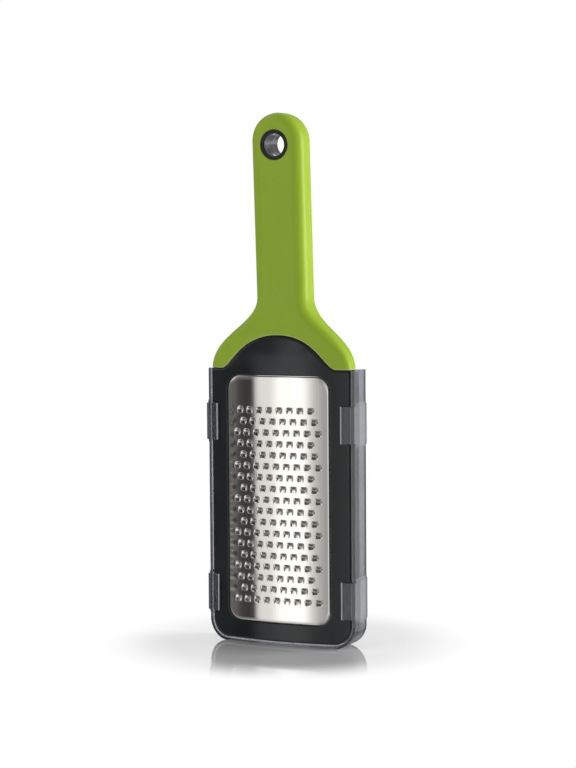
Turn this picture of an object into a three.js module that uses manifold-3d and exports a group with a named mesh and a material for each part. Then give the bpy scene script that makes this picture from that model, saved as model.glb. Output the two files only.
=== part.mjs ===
// A coarse hand grater standing upright in its smoky catch container, in millimetres, +Z up, front towards -Y.
// Two black frame halves clamp a pressed steel blade, a soft grip is moulded round the tang of the front half,
// a metal-lined hole hangs the grater up, and the container slides off downwards along the frame's sides.
import * as THREE from "three";
import { mergeVertices } from "three/addons/utils/BufferGeometryUtils.js";
import Module from "manifold-3d";

const wasm = await Module();
wasm.setup();

// Fits between neighbouring pieces
const fitGap = 0.3;
const slideGap = 0.4;

// Container: a shallow tray, open in front and on top
const containerHeight = 156.4;
const containerDepth = 18;
const containerWall = 1.9;
const containerCorner = 12.5;
const hookReach = 5.3;
const hookThickness = 1.3;
const hookHeight = 21;
const padProud = 0.6;
const padHeight = 25;
const upperHookHeight = 126;
const lowerHookHeight = 27.5;
const bumpHeight = 143.3;
const bumpLength = 6;
const bumpWidth = 2.2;
const bumpProud = 0.8;

// Frame: a slab bent to a dome about a vertical axis
const frameHalfWidth = 43.4;
const frameDepth = 9.5;
const domeRadius = 175;
const frontHalfDepth = 4.5;
const bezelLip = 1.8;
const bezelSide = 11.4;
const bezelFoot = 10.5;
const bezelHead = 3.35;
const windowCorner = 8.5;
const grooveDepth = 1.2;
const grooveWidth = 3.2;
const postRadius = 1.5;
const postInset = 4.4;
const postPitch = 38;
const postsPerSide = 4;
const lowestPost = 22;

// Tongue: the black arch below the grip's yoke
const archHalfWidth = 35.5;
const archRise = 19;
const archFootReach = 6.5;
const archCrownReach = 24;
const tongueRecess = 0.15;
const tongueRoot = 0.8;

// Blade: a pressed pan with punched hoods whose mouths face down
const sheet = 0.6;
const flangeReach = 1.6;
const toothPitch = 6.35;
const toothWidth = 4.1;
const toothLength = 4;
const toothRise = 1.25;
const toothTaper = 0.65;
const toothWall = 0.42;
const toothRelief = 0.2;
const toothMarginSide = 5.8;
const toothMarginHead = 19.85;
const toothMarginFoot = 9.8;

// Grip: a yoke over the frame's shoulders that narrows into a flat handle leaning forward
const overallHeight = 300;
const gripHalfWidth = 15.7;
const gripHalfDepth = 9.5;
const gripEdge = 6.5;
const gripProud = 0.5;
const yokeEdge = 2.6;
const neckHeight = 197;
const neckMiddle = -0.5;
const shoulderRise = 18.8;
const shoulderTuck = 0.5;
const neckFall = 15.8;
const handleTilt = THREE.MathUtils.degToRad(3);

// Tang: the core of the handle
const tangHalfWidth = 9;
const tangHalfDepth = 4.6;
const tangRootHalfDepth = 3;
const tangRoot = 1.5;
const tangEdge = 2;
const tangAboveHole = 10;

// Hanging hole: a polished sleeve between two black rings
const holeBelowTop = 17.6;
const boreRadius = 6.25;
const sleeveWall = 0.5;
const ringWidth = 1.25;
const ringDepth = 2.2;
const ringProud = 0.4;

// Facets
const arcSteps = 12;
const cornerSteps = 4;
const yokeSteps = 12;
const handleSteps = 3;
const crownSteps = 7;
const roundSides = 24;
const postSides = 10;
const roundLimit = 0.95;

// Places that follow from the sizes above
const frontEdge = -containerDepth / 2;
const innerHalfWidth = frameHalfWidth + slideGap;
const outerHalfWidth = innerHalfWidth + containerWall;
const frameBottom = containerWall + fitGap;
const shoulderHeight = containerHeight;
const frameCorner = containerCorner - containerWall - slideGap;
const flangeDepth = bezelLip + fitGap;
const clampDepth = flangeDepth + sheet + fitGap;
const backHalfDepth = frontHalfDepth + fitGap;
const windowHalfWidth = frameHalfWidth - bezelSide;
const windowBottom = frameBottom + bezelFoot;
const windowTop = shoulderHeight - bezelHead;
const holeHeight = overallHeight - holeBelowTop;
const sleeveRadius = boreRadius + sleeveWall;
const ringInner = sleeveRadius + fitGap;
const ringRadius = ringInner + ringWidth;
const clear = containerDepth;

// How far the dome falls back at a distance x from the middle
function domeFall(x) {
  return domeRadius - Math.sqrt(domeRadius ** 2 - x ** 2);
}
const crown = frontEdge - domeFall(frameHalfWidth);
const domeCentre = crown + domeRadius;

// The side guide runs along the middle of the back half's edge
const edgeLean = Math.sqrt(1 - (frameHalfWidth / domeRadius) ** 2);
const grooveMiddle = frontEdge + (edgeLean * (backHalfDepth + frameDepth)) / 2;

// A point above the domed front: its distance along the arc, how far it stands out, and its height
function onDome(across, out, z) {
  const angle = across / domeRadius;
  const radius = domeRadius + out;
  return new THREE.Vector3(radius * Math.sin(angle), domeCentre - radius * Math.cos(angle), z);
}

// A closed geometry as a solid that can be joined and cut
function solid(geometry) {
  const bare = geometry.clone();
  bare.deleteAttribute("normal");
  bare.deleteAttribute("uv");
  const merged = mergeVertices(bare, 1e-4);
  const triVerts = new Uint32Array(merged.index.array);
  const vertProperties = merged.attributes.position.array;
  return new wasm.Manifold(new wasm.Mesh({ numProp: 3, vertProperties, triVerts }));
}

function join(bodies) {
  return bodies.reduce((all, body) => all.add(body));
}

// A box between two corners
function block(low, high) {
  const size = high.map((value, axis) => value - low[axis]);
  const centre = high.map((value, axis) => (value + low[axis]) / 2);
  return solid(new THREE.BoxGeometry(...size).translate(...centre));
}

// An outline drawn in X and Z, carried along Y from one place to another
function prism(outline, yLow, yHigh) {
  const depth = yHigh - yLow;
  const options = { depth, bevelEnabled: false, curveSegments: cornerSteps };
  const geometry = new THREE.ExtrudeGeometry(outline, options);
  return solid(geometry.rotateX(Math.PI / 2).translate(0, yHigh, 0));
}

// An upright rectangle with rounded lower corners, and rounded upper ones where they have a radius
function roundedOutline(halfWidth, bottom, top, lowerRadius, upperRadius) {
  const outline = new THREE.Shape();
  const corner = (x, z, radius, start) => outline.absarc(x, z, radius, start, start + Math.PI / 2);
  corner(halfWidth - lowerRadius, bottom + lowerRadius, lowerRadius, -Math.PI / 2);
  if (upperRadius > 0) {
    corner(halfWidth - upperRadius, top - upperRadius, upperRadius, 0);
    corner(upperRadius - halfWidth, top - upperRadius, upperRadius, Math.PI / 2);
  } else {
    outline.lineTo(halfWidth, top);
    outline.lineTo(-halfWidth, top);
  }
  corner(lowerRadius - halfWidth, bottom + lowerRadius, lowerRadius, Math.PI);
  return outline;
}

// The blade's window, grown outwards by a margin
function windowOutline(margin) {
  const radius = windowCorner + margin;
  return roundedOutline(windowHalfWidth + margin, windowBottom - margin, windowTop + margin, radius, radius);
}

// The black arch, grown outwards by a margin, from a foot below the shoulders
function archOutline(margin) {
  const foot = archHalfWidth + margin;
  const low = shoulderHeight + margin;
  const top = shoulderHeight + archRise + margin;
  const outline = new THREE.Shape();
  outline.moveTo(-foot, shoulderHeight - clear);
  outline.lineTo(foot, shoulderHeight - clear);
  outline.lineTo(foot, low);
  outline.bezierCurveTo(foot - archFootReach, low, archCrownReach, top, 0, top);
  outline.bezierCurveTo(-archCrownReach, top, archFootReach - foot, low, -foot, low);
  return outline;
}

// The space between two depths behind the domed front, where a negative depth lies in front of it
function domeSlab(depthFront, depthBack) {
  const reach = (outerHalfWidth + containerWall) / domeRadius;
  const arc = (depth, sense) =>
    Array.from({ length: arcSteps + 1 }, (_, step) => {
      const across = sense * reach * (step / arcSteps - 0.5) * 2 * domeRadius;
      const point = onDome(across, -depth, 0);
      return new THREE.Vector2(point.x, point.y);
    });
  const outline = new THREE.Shape([...arc(depthFront, 1), ...arc(depthBack, -1)]);
  return solid(new THREE.ExtrudeGeometry(outline, { depth: overallHeight, bevelEnabled: false }));
}

// Part of such a slab inside an outline
function domePlate(outline, depthFront, depthBack) {
  return domeSlab(depthFront, depthBack).intersect(prism(outline, crown - clear, clear));
}

// Rings of points stacked upwards, skinned and capped into one closed body
function loft(rings) {
  const count = rings[0].length;
  const points = rings.flat();
  const faces = [];
  rings.slice(1).forEach((_, level) => {
    for (let side = 0; side < count; side++) {
      const low = level * count + side;
      const lowNext = level * count + ((side + 1) % count);
      faces.push(low, lowNext, lowNext + count, low, lowNext + count, low + count);
    }
  });
  const cap = (level, upwards) => {
    const ring = rings[level];
    const middle = ring.reduce((sum, point) => sum.add(point), new THREE.Vector3()).divideScalar(count);
    const centre = points.push(middle) - 1;
    for (let side = 0; side < count; side++) {
      const edge = [level * count + side, level * count + ((side + 1) % count)];
      faces.push(...(upwards ? edge : edge.reverse()), centre);
    }
  };
  cap(0, false);
  cap(rings.length - 1, true);
  return solid(new THREE.BufferGeometry().setFromPoints(points).setIndex(faces));
}

// How far the yoke has turned into the handle: 0 at the shoulders, 1 at the neck and above
function handleShare(z) {
  return THREE.MathUtils.smoothstep(z, shoulderHeight, neckHeight);
}

// A size that changes from the yoke's shoulders to the handle
function alongYoke(z, atShoulder, atHandle) {
  return THREE.MathUtils.lerp(atShoulder, atHandle, handleShare(z));
}

// The middle surface of yoke and handle: domed at the shoulders, flat and leaning forward above the neck
function middleAt(x, z) {
  const leaning = neckMiddle - (z - neckHeight) * Math.tan(handleTilt);
  return alongYoke(z, crown + frameDepth / 2 + domeFall(x), leaning);
}

function gripDepthAt(z) {
  return alongYoke(z, frameDepth / 2 + gripProud, gripHalfDepth);
}

// A rounded rectangle round the middle surface at height z, anticlockwise seen from above
function section(z, halfWidth, halfDepth, edge) {
  const radius = Math.min(edge, halfWidth * roundLimit, halfDepth * roundLimit);
  const flat = halfWidth - radius;
  const rise = halfDepth - radius;
  const faceSteps = arcSteps / 2;
  const points = [];
  const put = (x, y) => points.push(new THREE.Vector3(x, middleAt(x, z) + y, z));
  const corner = (side, back, start) => {
    for (let step = 0; step <= cornerSteps; step++) {
      const angle = start + (Math.PI / 2) * (step / cornerSteps);
      put(side * flat + radius * Math.cos(angle), back * rise + radius * Math.sin(angle));
    }
  };
  const face = (back) => {
    for (let step = 1; step < faceSteps; step++) {
      put(back * flat * (1 - (2 * step) / faceSteps), back * halfDepth);
    }
  };
  corner(1, 1, 0);
  face(1);
  corner(-1, 1, Math.PI / 2);
  corner(-1, -1, Math.PI);
  face(-1);
  corner(1, -1, Math.PI * 1.5);
  return points;
}

// Values evenly spread from one end to the other, both included
function spread(from, to, steps) {
  return Array.from({ length: steps + 1 }, (_, step) => THREE.MathUtils.lerp(from, to, step / steps));
}

// A ring or tube about Y: a rectangle of two radii and two ends, turned full circle
function tube(inner, outer, low, high) {
  const corners = [[inner, low], [outer, low], [outer, high], [inner, high], [inner, low]];
  const profile = corners.map(([radius, along]) => new THREE.Vector2(radius, along));
  return new THREE.LatheGeometry(profile, roundSides);
}

// The frame of the hanging hole: its axis square to the leaning handle, along the group's own Y
const hangingHole = new THREE.Group();
hangingHole.position.set(0, middleAt(0, holeHeight), holeHeight);
hangingHole.rotation.x = handleTilt;
hangingHole.updateMatrixWorld(true);

// A round cut about the hanging hole's axis
function holeCut(radius, low, high) {
  const geometry = new THREE.CylinderGeometry(radius, radius, high - low, roundSides);
  return solid(geometry.translate(0, (low + high) / 2, 0).applyMatrix4(hangingHole.matrixWorld));
}

function named(name, geometry, material) {
  const mesh = new THREE.Mesh(geometry, material);
  mesh.name = name;
  return mesh;
}

function meshOf(name, body, material) {
  const made = body.getMesh();
  const geometry = new THREE.BufferGeometry();
  geometry.setAttribute("position", new THREE.BufferAttribute(made.vertProperties, made.numProp));
  geometry.setIndex(new THREE.BufferAttribute(made.triVerts, 1));
  geometry.computeVertexNormals();
  return named(name, geometry, material);
}

const smokyPlastic = new THREE.MeshStandardMaterial({ color: 0x9a97a3, roughness: 0.15, metalness: 0 });
smokyPlastic.transparent = true;
smokyPlastic.opacity = 0.45;
const blackPlastic = new THREE.MeshStandardMaterial({ color: 0x2d3032, roughness: 0.45, metalness: 0 });
const brushedSteel = new THREE.MeshStandardMaterial({ color: 0xc9c8c4, roughness: 0.3, metalness: 1 });
const softGrip = new THREE.MeshStandardMaterial({ color: 0x8ea63a, roughness: 0.6, metalness: 0 });
const polishedSteel = new THREE.MeshStandardMaterial({ color: 0xd8d8d6, roughness: 0.1, metalness: 1 });

// The tray, whose front edge follows the dome, with four hooks that hold the frame's front, a pad outside
// each hook and a bump in each side wall
function makeContainer() {
  const half = containerDepth / 2;
  const outside = roundedOutline(outerHalfWidth, 0, containerHeight, containerCorner, 0);
  const innerRadius = containerCorner - containerWall;
  const inside = roundedOutline(innerHalfWidth, containerWall, containerHeight + clear, innerRadius, 0);
  const padHalfWidth = outerHalfWidth + padProud;
  const rootFront = crown + domeFall(padHalfWidth) - fitGap - hookThickness;
  const hookSlab = domeSlab(-fitGap - hookThickness, -fitGap);
  const walls = [prism(outside, crown - containerWall, half)];
  const holds = [];
  for (const side of [-1, 1]) {
    const span = (near, far) => [side * near, side * far].sort((a, b) => a - b);
    const [hookLow, hookHigh] = span(innerHalfWidth - hookReach, padHalfWidth);
    const [padLow, padHigh] = span(innerHalfWidth, padHalfWidth);
    for (const height of [upperHookHeight, lowerHookHeight]) {
      const [hookFoot, hookTop] = [height - hookHeight / 2, height + hookHeight / 2];
      walls.push(block([padLow, -half, height - padHeight / 2], [padHigh, half, height + padHeight / 2]));
      holds.push(hookSlab.intersect(block([hookLow, -clear, hookFoot], [hookHigh, clear, hookTop])));
      holds.push(block([padLow, rootFront, hookFoot], [padHigh, 0, hookTop]));
    }
    const bump = new THREE.SphereGeometry(1, postSides, postSides / 2);
    bump.scale(bumpProud, bumpWidth / 2, bumpLength / 2);
    holds.push(solid(bump.translate(side * innerHalfWidth, grooveMiddle, bumpHeight)));
  }
  const tray = join(walls)
    .subtract(prism(inside, crown - clear, half - containerWall))
    .subtract(domeSlab(-clear, 0));
  return meshOf("container", join([tray, ...holds]), smokyPlastic);
}

// Round posts square to the dome on both sides, between two depths
function posts(radius, depthFront, depthBack) {
  const across = domeRadius * Math.asin((frameHalfWidth - postInset) / domeRadius);
  const made = [];
  for (const side of [-1, 1]) {
    for (let index = 0; index < postsPerSide; index++) {
      const middle = onDome(side * across, -(depthFront + depthBack) / 2, lowestPost + index * postPitch);
      const geometry = new THREE.CylinderGeometry(radius, radius, depthBack - depthFront, postSides);
      made.push(solid(geometry.rotateZ((side * across) / domeRadius).translate(middle.x, middle.y, middle.z)));
    }
  }
  return join(made);
}

// The tang, grown all round by a margin
function tang(margin, low) {
  const top = holeHeight + tangAboveHole + margin;
  const heights = [low, ...spread(shoulderHeight + archRise, neckHeight, yokeSteps / 2), top];
  const depthAt = (z) => alongYoke(z, tangRootHalfDepth, tangHalfDepth) + margin;
  return loft(heights.map((z) => section(z, tangHalfWidth + margin, depthAt(z), tangEdge)));
}

// The bezel with its window and blade pocket, the tongue that fills the yoke's arch, and the tang above it
function makeFrontFrame() {
  const outline = roundedOutline(frameHalfWidth, frameBottom, shoulderHeight, frameCorner, 0);
  const pocket = domePlate(windowOutline(flangeReach + fitGap), bezelLip, frameDepth);
  const bezel = domePlate(outline, 0, frontHalfDepth)
    .subtract(prism(windowOutline(0), crown - clear, clear))
    .subtract(pocket);
  const tongueHeights = spread(shoulderHeight - tongueRoot, shoulderHeight + archRise + fitGap, yokeSteps / 2);
  const tongueDepth = (z) => gripDepthAt(z) - gripProud - tongueRecess;
  const tongueSection = (z) => section(z, archHalfWidth + clear / 2, tongueDepth(z), tongueRecess);
  const tongue = loft(tongueHeights.map(tongueSection)).intersect(prism(archOutline(0), crown - clear, clear));
  const core = tang(0, shoulderHeight + tangRoot).subtract(holeCut(ringInner, -clear, clear));
  const pegs = posts(postRadius, frontHalfDepth - fitGap * 2, frameDepth - fitGap * 2);
  return meshOf("frame_front", join([bezel, tongue, core, pegs]), blackPlastic);
}

// The retaining half: a lip that clamps the blade's flange, holes for the posts and a guide in each side
function makeBackFrame() {
  const top = shoulderHeight - tongueRoot - fitGap;
  const outline = roundedOutline(frameHalfWidth, frameBottom, top, frameCorner, 0);
  const slab = domePlate(outline, backHalfDepth, frameDepth);
  const lip = domePlate(windowOutline(flangeReach), clampDepth, backHalfDepth + bezelLip);
  const guideTop = bumpHeight + bumpLength;
  const guides = [-1, 1].map((side) => {
    const [low, high] = [side * (frameHalfWidth - grooveDepth), side * outerHalfWidth].sort((a, b) => a - b);
    const half = grooveWidth / 2;
    return block([low, grooveMiddle - half, -clear], [high, grooveMiddle + half, guideTop]);
  });
  const body = join([slab, lip])
    .subtract(prism(windowOutline(0), crown - clear, clear))
    .subtract(posts(postRadius + fitGap, 0, frameDepth * 2))
    .subtract(join(guides));
  return meshOf("frame_back", body, blackPlastic);
}

// Rows of wedges on the dome: a mouth below, a sloping roof and a narrow end where the hood joins the sheet
function hoods({ halfBase, halfRoof, halfTip, base, roof, mouth, tip }) {
  const fieldHalf = windowHalfWidth - toothMarginSide;
  const fieldTop = windowTop - toothMarginHead;
  const fieldBottom = windowBottom + toothMarginFoot;
  const rows = 1 + Math.floor((fieldTop - fieldBottom) / toothPitch);
  const shifts = [-toothPitch / 6, toothPitch / 6, 0];
  const wedge = [0, 1, 2, 0, 2, 3, 0, 4, 5, 0, 5, 1, 3, 2, 5, 3, 5, 4, 1, 5, 2, 0, 3, 4];
  const points = [];
  const faces = [];
  for (let row = 0; row < rows; row++) {
    const z = fieldTop - row * toothPitch;
    const shift = shifts[row % shifts.length];
    const count = 1 + Math.floor((2 * (fieldHalf - Math.abs(shift))) / toothPitch);
    for (let index = 0; index < count; index++) {
      const across = shift + (index - (count - 1) / 2) * toothPitch;
      faces.push(...wedge.map((corner) => corner + points.length));
      points.push(onDome(across - halfBase, base, z + mouth), onDome(across + halfBase, base, z + mouth));
      points.push(onDome(across + halfRoof, roof, z + mouth), onDome(across - halfRoof, roof, z + mouth));
      points.push(onDome(across - halfTip, base, z + tip), onDome(across + halfTip, base, z + tip));
    }
  }
  return solid(new THREE.BufferGeometry().setFromPoints(points).setIndex(faces));
}

// The pressed pan: a plateau flush with the bezel, a flange clamped behind its lip, and the punched hoods
function makeBlade() {
  const flangeBack = flangeDepth + sheet;
  const inside = windowOutline(-fitGap - sheet);
  const hollow = domePlate(inside, sheet, frameDepth);
  const plateau = domePlate(windowOutline(-fitGap), 0, flangeBack).subtract(hollow);
  const flange = domePlate(windowOutline(flangeReach), flangeDepth, flangeBack);
  const pan = join([plateau, flange.subtract(prism(inside, crown - clear, clear))]);
  const slope = (toothRise + sheet / 2) / toothLength;
  const outer = {
    halfBase: toothWidth / 2,
    halfRoof: toothWidth / 2 - toothTaper,
    halfTip: toothWidth / 2 - toothTaper,
    base: -sheet / 2,
    roof: toothRise,
    mouth: -toothLength / 2,
    tip: toothLength / 2,
  };
  const through = -2 * sheet;
  const mouth = outer.mouth - toothRelief;
  const inner = {
    halfBase: outer.halfBase - toothWall,
    halfRoof: outer.halfRoof - toothWall,
    halfTip: outer.halfTip - toothWall,
    base: through,
    roof: toothRise - toothWall,
    mouth,
    tip: mouth + (toothRise - toothWall - through) / slope,
  };
  return meshOf("blade", pan.add(hoods(outer)).subtract(hoods(inner)), brushedSteel);
}

// The moulded grip: a yoke whose legs stand on the frame's shoulders, a neck and a handle with a round end
function makeGrip() {
  const foot = shoulderHeight + fitGap;
  const side = new THREE.CubicBezierCurve(
    new THREE.Vector2(frameHalfWidth, foot),
    new THREE.Vector2(frameHalfWidth - shoulderTuck, foot + shoulderRise),
    new THREE.Vector2(gripHalfWidth, neckHeight - neckFall),
    new THREE.Vector2(gripHalfWidth, neckHeight),
  );
  const edgeAt = (z) => alongYoke(z, yokeEdge, gripEdge);
  const yoke = side.getPoints(yokeSteps).map(({ x, y }) => section(y, x, gripDepthAt(y), edgeAt(y)));
  const crownCentre = overallHeight - gripHalfWidth;
  const handleHeights = spread(neckHeight, crownCentre, handleSteps).slice(1);
  const handle = handleHeights.map((z) => section(z, gripHalfWidth, gripHalfDepth, gripEdge));
  const round = spread(0, Math.PI / 2, crownSteps).slice(1).map((angle) => {
    const below = gripHalfWidth * (1 - Math.sin(angle));
    const rounding = Math.max(0, gripEdge - below);
    const halfDepth = gripHalfDepth - gripEdge + Math.sqrt(gripEdge ** 2 - rounding ** 2);
    const halfWidth = Math.max(gripHalfWidth * Math.cos(angle), yokeEdge);
    return section(overallHeight - below, halfWidth, Math.max(halfDepth, yokeEdge), gripEdge);
  });
  const seatFloor = gripHalfDepth - ringDepth - fitGap;
  const body = loft([...yoke, ...handle, ...round])
    .subtract(prism(archOutline(fitGap), crown - clear, clear))
    .subtract(tang(fitGap, shoulderHeight - tangRoot))
    .subtract(holeCut(ringInner, -clear, clear))
    .subtract(holeCut(ringRadius + fitGap, seatFloor, clear))
    .subtract(holeCut(ringRadius + fitGap, -clear, -seatFloor));
  return meshOf("grip", body, softGrip);
}

// The hole's lining: a polished sleeve and the black ring round each of its ends
function addHoleLining(group) {
  const ringLow = gripHalfDepth - ringDepth;
  const ringHigh = gripHalfDepth + ringProud;
  group.add(named("hole_sleeve", tube(boreRadius, sleeveRadius, -gripHalfDepth, gripHalfDepth), polishedSteel));
  group.add(named("hole_ring_front", tube(ringInner, ringRadius, -ringHigh, -ringLow), blackPlastic));
  group.add(named("hole_ring_back", tube(ringInner, ringRadius, ringLow, ringHigh), blackPlastic));
}

const grater = new THREE.Group();
grater.name = "coarse_grater";
grater.add(makeContainer(), makeFrontFrame(), makeBackFrame(), makeBlade(), makeGrip());
addHoleLining(hangingHole);
grater.add(hangingHole);

export default grater;
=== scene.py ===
import math

import bmesh
import bpy
import numpy as np
from mathutils import Matrix, Vector


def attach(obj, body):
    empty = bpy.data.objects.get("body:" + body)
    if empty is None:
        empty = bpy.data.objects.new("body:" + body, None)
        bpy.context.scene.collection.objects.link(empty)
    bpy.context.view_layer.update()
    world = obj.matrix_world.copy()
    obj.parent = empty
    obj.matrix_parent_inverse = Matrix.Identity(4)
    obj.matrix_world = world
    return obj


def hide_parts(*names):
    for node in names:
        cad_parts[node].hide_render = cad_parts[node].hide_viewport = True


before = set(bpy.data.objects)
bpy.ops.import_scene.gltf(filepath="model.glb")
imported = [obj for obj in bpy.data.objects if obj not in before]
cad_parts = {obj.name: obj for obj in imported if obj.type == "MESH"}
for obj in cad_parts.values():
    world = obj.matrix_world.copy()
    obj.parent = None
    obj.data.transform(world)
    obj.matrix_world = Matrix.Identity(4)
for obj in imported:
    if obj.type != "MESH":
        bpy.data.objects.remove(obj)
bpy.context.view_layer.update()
mm = 0.001
scene = bpy.context.scene
scene.view_settings.view_transform = "Standard"
print("frame:", len(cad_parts), "nodes")

cameraView = {
    "target": (0.827, 0.0, 147.541), "distance": 1163.57, "nearest": 10.0,  # mm
    "turn": 26.0, "rise": 3.839, "roll": -0.401,  # degrees, turned from the front towards +X
    "lens": 96.16, "sensor": 36.0,
}


# Unit vector at degrees round from the front towards +X and degrees up
def towards(turn, rise):
    turn, rise = math.radians(turn), math.radians(rise)
    return Vector((math.sin(turn) * math.cos(rise), -math.cos(turn) * math.cos(rise), math.sin(rise)))


def addCamera(view):
    turn, roll = math.radians(view["turn"]), math.radians(view["roll"])
    back = towards(view["turn"], view["rise"])
    right = Vector((math.cos(turn), math.sin(turn), 0))
    up = back.cross(right)
    rolledRight = right * math.cos(roll) + up * math.sin(roll)
    rolledUp = up * math.cos(roll) - right * math.sin(roll)
    lens = bpy.data.cameras.new("camera")
    lens.lens, lens.sensor_width, lens.clip_start = view["lens"], view["sensor"], view["nearest"] * mm
    camera = bpy.data.objects.new("camera", lens)
    place = Vector(view["target"]) * mm + back * view["distance"] * mm
    camera.matrix_world = Matrix.Translation(place) @ Matrix((rolledRight, rolledUp, back)).transposed().to_4x4()
    scene.collection.objects.link(camera)
    scene.camera = camera


addCamera(cameraView)


# sRGB hex to linear light
def linear(colour):
    srgb = np.array([int(colour[start:start + 2], 16) for start in (1, 3, 5)]) / 255
    light = np.where(srgb <= 0.04045, srgb / 12.92, ((srgb + 0.055) / 1.055) ** 2.4)
    return (*light.tolist(), 1.0)


# A node with settings, properties or input values, and links from other nodes' outputs
def addNode(tree, kind, settings={}, links={}):
    node = tree.nodes.new("ShaderNode" + kind)
    for key, value in settings.items():
        if isinstance(key, str) and hasattr(node, key):
            setattr(node, key, value)
        else:
            node.inputs[key].default_value = value
    for key, output in links.items():
        tree.links.new(output, node.inputs[key])
    return node


# The empty node tree of a material or the world
def emptyTree(owner):
    owner.use_nodes = True
    owner.node_tree.nodes.clear()
    return owner.node_tree


# A material to fill, its tree, and the place on the object for its patterns
def newMaterial(name):
    material = bpy.data.materials.new(name)
    tree = emptyTree(material)
    return material, tree, addNode(tree, "TexCoord").outputs["Object"]


# The shader that completes a material
def shade(material, settings, links, volume={}):
    shader = addNode(material.node_tree, "BsdfPrincipled", settings, links)
    addNode(material.node_tree, "OutputMaterial", {}, {"Surface": shader.outputs[0], **volume})
    return material


# Noise with spots of a size in mm, for all axes or each
def addNoise(tree, place, size, detail, distortion=0.0):
    scale = (1 / (np.broadcast_to(size, 3) * mm)).tolist()
    sized = addNode(tree, "Mapping", {"Scale": scale}, {"Vector": place})
    noise = addNode(tree, "TexNoise", {"Scale": 1.0, "Detail": detail, "Distortion": distortion},
                    {"Vector": sized.outputs[0]})
    return noise.outputs["Fac"]


# One colour turning into another between two values of a factor
def addRamp(tree, factor, low, high, span=(0.3, 0.7)):
    ramp = addNode(tree, "ValToRGB", {}, {"Fac": factor})
    for step, place, colour in zip(ramp.color_ramp.elements, span, (low, high)):
        step.position, step.color = place, linear(colour)
    return ramp.outputs[0]


def addRange(tree, factor, least, most):
    return addNode(tree, "MapRange", {"To Min": least, "To Max": most}, {"Value": factor}).outputs[0]


# Relief of a strength and a height in mm
def addBump(tree, factor, strength, height):
    settings = {"Strength": strength, "Distance": height * mm}
    return addNode(tree, "Bump", settings, {"Height": factor}).outputs[0]


# Two colours mixed by a factor, each a value or a node's output
def addMix(tree, factor, first, second):
    mix = addNode(tree, "Mix", {"data_type": "RGBA"}, {0: factor})
    for socket, colour in ((mix.inputs[6], first), (mix.inputs[7], second)):
        if isinstance(colour, tuple):
            socket.default_value = colour
        else:
            tree.links.new(colour, socket)
    return mix.outputs[2]


def addMark(tree, name):
    return addNode(tree, "Attribute", {"attribute_name": name}).outputs["Fac"]


# 1 for what the camera sees, straight or through clear plastic
def addSeen(tree, path):
    return addNode(tree, "Math", {"operation": "MAXIMUM"},
                   {0: path.outputs["Is Camera Ray"], 1: path.outputs["Is Transmission Ray"]}).outputs[0]


gripLook = {"base": "#94b128", "deep": "#8eab23", "lipHighlight": "#c6d486", "cloud": 26.0, "grain": 0.45,
            "bump": (0.16, 0.06), "roughness": (0.32, 0.46), "refraction": 1.48, "sheen": 0.06,
            "sheenRoughness": 0.4, "sheenTint": "#e8f2b0"}


# Thermoplastic elastomer moulded over the tang from a spark-eroded tool: matt, with an even fine grain that breaks
# up its highlights, a soft sheen that lightens the edges turned away, and hardly any change of colour. Along the
# arch, where it meets the black plastic, a paler green is painted into its colour as a painted highlight on its lip.
def makeSoftGrip(look):
    material, tree, place = newMaterial("tpe_moulded_soft_grip")
    grain, cloud = addNoise(tree, place, look["grain"], 2.0), addNoise(tree, place, look["cloud"], 3.0)
    colour = addRamp(tree, cloud, look["deep"], look["base"])
    settings = {"IOR": look["refraction"], "Sheen Weight": look["sheen"], "Sheen Roughness": look["sheenRoughness"],
                "Sheen Tint": linear(look["sheenTint"])}
    # Painted highlight: the colour turns paler green where the lip mark is high, along the arch edge
    return shade(material, settings, {"Base Color": addMix(tree, addMark(tree, "lip"), colour, linear(look["lipHighlight"])),
                                      "Roughness": addRange(tree, grain, *look["roughness"]),
                                      "Normal": addBump(tree, grain, *look["bump"])})


frameLook = {"base": "#1e2223", "worn": "#232728", "span": (0.35, 0.7), "flow": 18.0, "swirl": 0.6, "grain": 0.35,
             "bump": (0.06, 0.05), "roughness": (0.1, 0.22), "refraction": 1.53, "gloss": 0.31}


# ABS moulded in a finely textured tool: near black, satin, with a grain that only softens reflections, and faint
# flow marks where the melt met round the window.
def makeBlackPlastic(look):
    material, tree, place = newMaterial("abs_moulded_satin_black")
    grain, flow = addNoise(tree, place, look["grain"], 2.0), addNoise(tree, place, look["flow"], 3.0, look["swirl"])
    return shade(material, {"IOR": look["refraction"], "Specular IOR Level": look["gloss"]},
                 {"Base Color": addRamp(tree, flow, look["base"], look["worn"], look["span"]),
                  "Roughness": addRange(tree, flow, *look["roughness"]),
                  "Normal": addBump(tree, grain, *look["bump"])})


bladeLook = {"base": "#dad8d3", "shade": "#d2d0ca", "strokes": (0.35, 0.35, 40.0),
             "bump": (0.012, 0.01), "roughness": (0.03, 0.11)}


# Stainless steel strip, brushed lengthwise before it was pressed: bright, with fine upright strokes that spread
# reflections sideways. The strokes are drawn a little coarser than real ones so that they show.
def makeBrushedSteel(look):
    material, tree, place = newMaterial("stainless_strip_brushed")
    strokes = addNoise(tree, place, look["strokes"], 3.0)
    return shade(material, {"Metallic": 1.0},
                 {"Base Color": addRamp(tree, strokes, look["shade"], look["base"]),
                  "Roughness": addRange(tree, strokes, *look["roughness"]),
                  "Normal": addBump(tree, strokes, *look["bump"])})


sleeveLook = {"base": "#d4d4d6", "shade": "#c0c0c4", "span": (0.0, 1.0), "rings": (50.0, 0.4, 50.0),
              "roughness": (0.1, 0.16)}


# Stainless tube, polished inside: mirror bright, with faint turning rings along its axis.
def makePolishedSteel(look):
    material, tree, place = newMaterial("stainless_tube_polished")
    rings = addNoise(tree, place, look["rings"], 1.0)
    return shade(material, {"Metallic": 1.0},
                 {"Base Color": addRamp(tree, rings, look["shade"], look["base"], look["span"]),
                  "Roughness": addRange(tree, rings, *look["roughness"])})


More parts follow.
